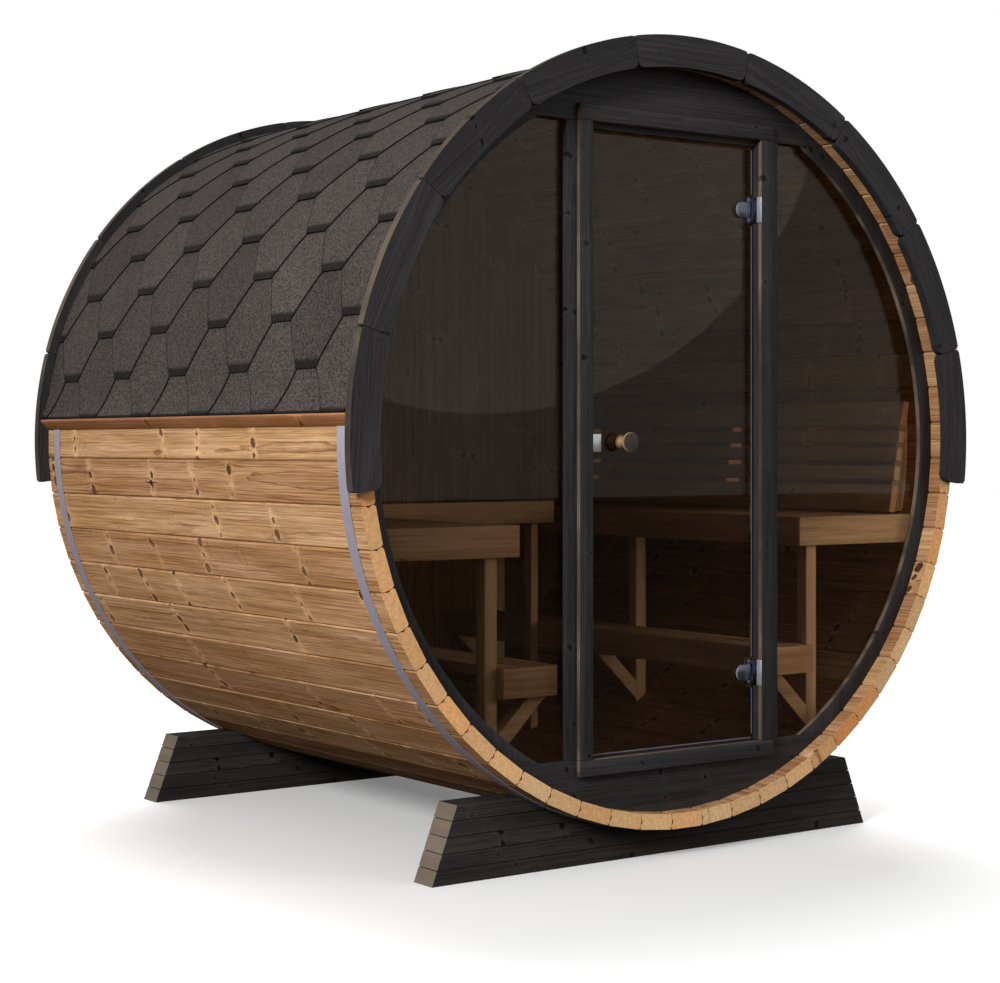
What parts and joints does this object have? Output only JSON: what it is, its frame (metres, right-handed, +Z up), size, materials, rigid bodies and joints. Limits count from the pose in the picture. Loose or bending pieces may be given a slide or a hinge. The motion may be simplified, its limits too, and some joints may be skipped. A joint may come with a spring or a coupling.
{
  "type": "barrel sauna",
  "caption": "Outdoor barrel sauna: a horizontal timber stave cabin on cradles, with a shingled roof, a hinged glass door between glass panes, and facing benches.",
  "frame": {"origin": "middle of the footprint at ground level", "axes": "+Z up, +Y along the barrel from the door end to the rear wall, +X to the right seen from in front of the door"},
  "size_m": [2.126, 1.822, 2.1718],
  "materials": {
    "stave_wood": "oiled heat-treated softwood",
    "stained_wood": "dark grey stained softwood",
    "cradle_wood": "dark stained laminated softwood",
    "eave_wood": "red brown stained softwood",
    "shingle": "mineral granules on bitumen",
    "hoop_steel": "stainless band",
    "tinted_glass": "bronze grey tinted toughened glass",
    "rear_wood": "planed heat-treated boards",
    "bench_wood": "planed heat-treated boards",
    "fitting_metal": "bright chrome",
    "knob_wood": "turned hardwood"
  },
  "bodies": {
    "barrel": {"staves_floor": "stave_wood", "staves_right_low": "stave_wood", "staves_right_high": "stave_wood", "staves_top": "stave_wood", "staves_left_high": "stave_wood", "staves_left_low": "stave_wood", "hoop_front": "hoop_steel", "hoop_rear": "hoop_steel", "hoop_bolts": "fitting_metal", "roof_cover_left": "shingle", "roof_cover_right": "shingle", "eave_batten_left": "eave_wood", "eave_batten_right": "eave_wood", "roof_trim_front": "stained_wood", "roof_trim_rear": "stained_wood", "cradle_front": "cradle_wood", "cradle_rear": "cradle_wood", "front_header": "stained_wood", "front_sill": "stained_wood", "front_ring_left": "stained_wood", "front_ring_right": "stained_wood", "front_jamb_left": "stained_wood", "front_jamb_right": "stained_wood", "casing_left": "stained_wood", "casing_right": "stained_wood", "casing_top": "stained_wood", "casing_bottom": "stained_wood", "pane_left": "tinted_glass", "pane_right": "tinted_glass", "rear_wall": "rear_wood", "bench_left_seat": "bench_wood", "bench_right_seat": "bench_wood", "bench_left_frame": "bench_wood", "bench_right_frame": "bench_wood", "footrest_left": "bench_wood", "footrest_right": "bench_wood", "backrest_left": "bench_wood", "backrest_right": "bench_wood", "guard_rail": "bench_wood", "hinge_brackets": "fitting_metal", "catch_keeper": "fitting_metal"},
    "door": {"door_glass": "tinted_glass", "hinge_clamps": "fitting_metal", "door_knob_outer": "knob_wood", "door_knob_inner": "knob_wood", "catch_plate": "fitting_metal"}
  },
  "joints": [
    {"name": "door_hinge", "type": "hinge", "parent": "barrel", "child": "door", "pos_m": [0.279, -0.82, 1.109], "axis": [0, 0, 1], "range_deg": [0, 90]}
  ]
}
